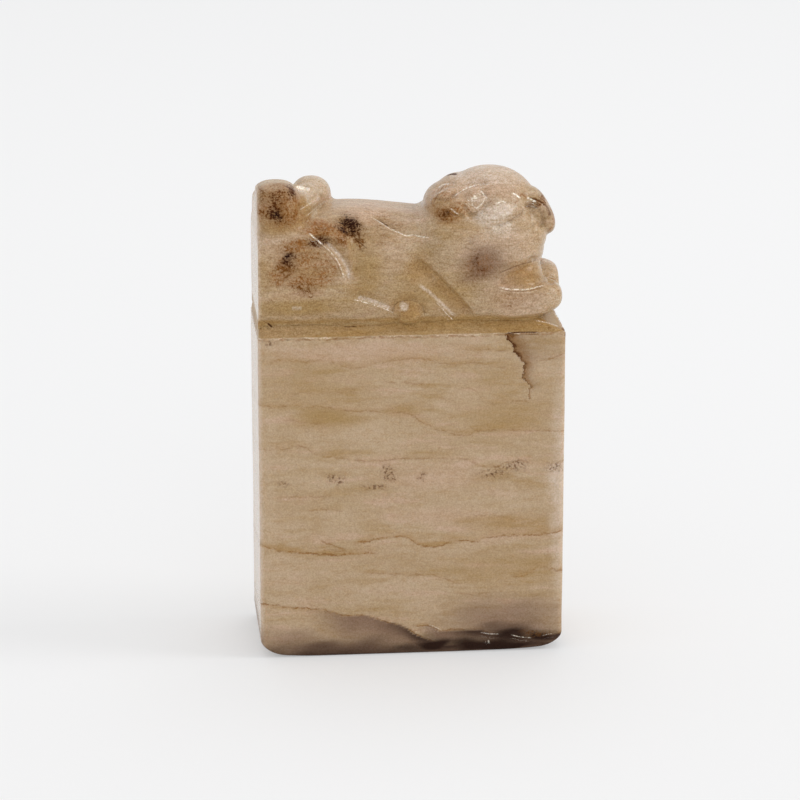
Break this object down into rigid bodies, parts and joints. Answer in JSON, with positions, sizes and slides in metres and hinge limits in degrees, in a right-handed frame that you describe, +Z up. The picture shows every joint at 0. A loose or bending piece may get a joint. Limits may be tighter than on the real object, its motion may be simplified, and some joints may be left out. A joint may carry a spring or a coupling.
{
  "type": "seal stamp",
  "caption": "Flat rectangular jade seal: a tall plain block with a sloping ledge, a lying beast carved on top as the grip, and a cut printing face underneath.",
  "frame": {"origin": "centre of the printing face, on the surface the seal stands on", "axes": "+X towards the end where the beast's head is, -Y out of the broad side the beast looks over, +Z up from the printing face to the beast"},
  "size_m": [0.028, 0.0126, 0.0446],
  "materials": {
    "pale_jade": "polished",
    "brown_jade": "polished",
    "cut_face": "satin"
  },
  "bodies": {
    "root": {"printing_face": "cut_face", "seal_block": "pale_jade", "sloping_ledge": "brown_jade", "body": "brown_jade", "chest": "brown_jade", "neck": "brown_jade", "skull": "brown_jade", "muzzle": "brown_jade", "lower_jaw": "brown_jade", "tail_root": "brown_jade", "right_tail_curl": "brown_jade", "left_tail_curl": "brown_jade", "right_eye": "brown_jade", "left_eye": "brown_jade", "right_brow": "brown_jade", "left_brow": "brown_jade", "right_ear": "brown_jade", "left_ear": "brown_jade", "right_shoulder": "brown_jade", "left_shoulder": "brown_jade", "right_forepaw": "brown_jade", "left_forepaw": "brown_jade", "right_haunch": "brown_jade", "left_haunch": "brown_jade", "right_hind_foot": "brown_jade", "left_hind_foot": "brown_jade", "right_hind_toes": "brown_jade", "left_hind_toes": "brown_jade"}
  },
  "joints": []
}
